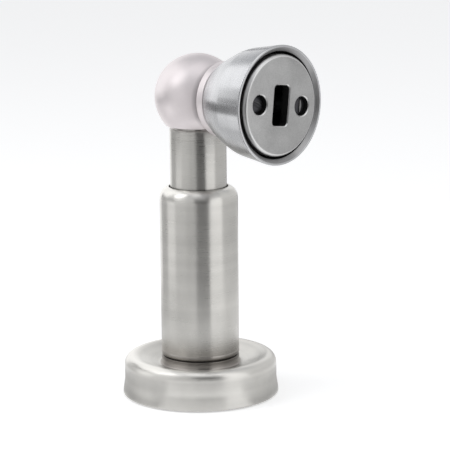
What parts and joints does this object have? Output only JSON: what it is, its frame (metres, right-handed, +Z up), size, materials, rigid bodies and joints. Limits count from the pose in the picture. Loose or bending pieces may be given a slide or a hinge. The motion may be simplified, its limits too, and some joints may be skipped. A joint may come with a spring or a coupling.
{
  "type": "floor door holder",
  "caption": "Magnetic floor door holder: round base, telescopic post, swivelling ball head with a magnet, and a bell-shaped keeper whose slotted plate goes on the door.",
  "frame": {"origin": "centre of the floor plate's underside, on the post's axis and on the floor", "axes": "+Z up along the post, +X along the keeper's axis from the ball towards the door"},
  "size_m": [0.0615, 0.0504, 0.1145],
  "materials": {
    "satin_steel": "satin, turned with fine rings",
    "pearl_nickel": "pearly satin nickel plate, slightly pink",
    "keeper_steel": "satin, brighter than the post",
    "plate_steel": "fine satin with a bright bevel",
    "zinc": "dull zinc plate",
    "iron": "ground face, plated",
    "spring_steel": "bright drawn wire",
    "magnet_nickel": "bright nickel plate",
    "black_oxide": "oiled black oxide",
    "black_nylon": "matte moulded"
  },
  "bodies": {
    "base": {"floor_plate": "zinc", "anchor_stud": "zinc", "stud_nut": "zinc", "base_cover": "satin_steel", "foot_collar": "satin_steel", "post_sleeve": "satin_steel", "guide_bush": "black_nylon", "lock_screw": "black_oxide"},
    "post": {"post_tube": "satin_steel", "tube_foot": "black_nylon", "tube_plug": "satin_steel"},
    "head": {"head_ball": "pearl_nickel", "swivel_bolt": "zinc", "spring_washer": "spring_steel", "magnet_cup": "zinc", "magnet": "magnet_nickel", "magnet_screw": "zinc"},
    "keeper": {"nose_ring": "pearl_nickel", "keeper_housing": "keeper_steel", "keeper_core": "black_nylon", "housing_screw": "black_oxide", "mounting_plate": "plate_steel", "plate_screw_left": "black_oxide", "plate_screw_right": "black_oxide", "striker_spring": "spring_steel"},
    "striker": {"striker": "iron", "stem_clip": "spring_steel"}
  },
  "joints": [
    {"name": "height_slide", "type": "slide", "parent": "base", "child": "post", "axis": [0, 0, 1], "range_m": [-0.014, 0.012]},
    {"name": "head_swivel", "type": "hinge", "parent": "post", "child": "head", "pos_m": [0, 0, 0.0866], "axis": [0, 0, 1], "continuous": true},
    {"name": "keeper_release", "type": "slide", "parent": "head", "child": "keeper", "axis": [1, 0, 0], "range_m": [0, 0.04]},
    {"name": "striker_travel", "type": "slide", "parent": "keeper", "child": "striker", "axis": [1, 0, 0], "range_m": [0, 0.002], "stiffness_N_per_m": 2000, "springref_m": -0.002, "deforming": ["striker_spring"]}
  ]
}
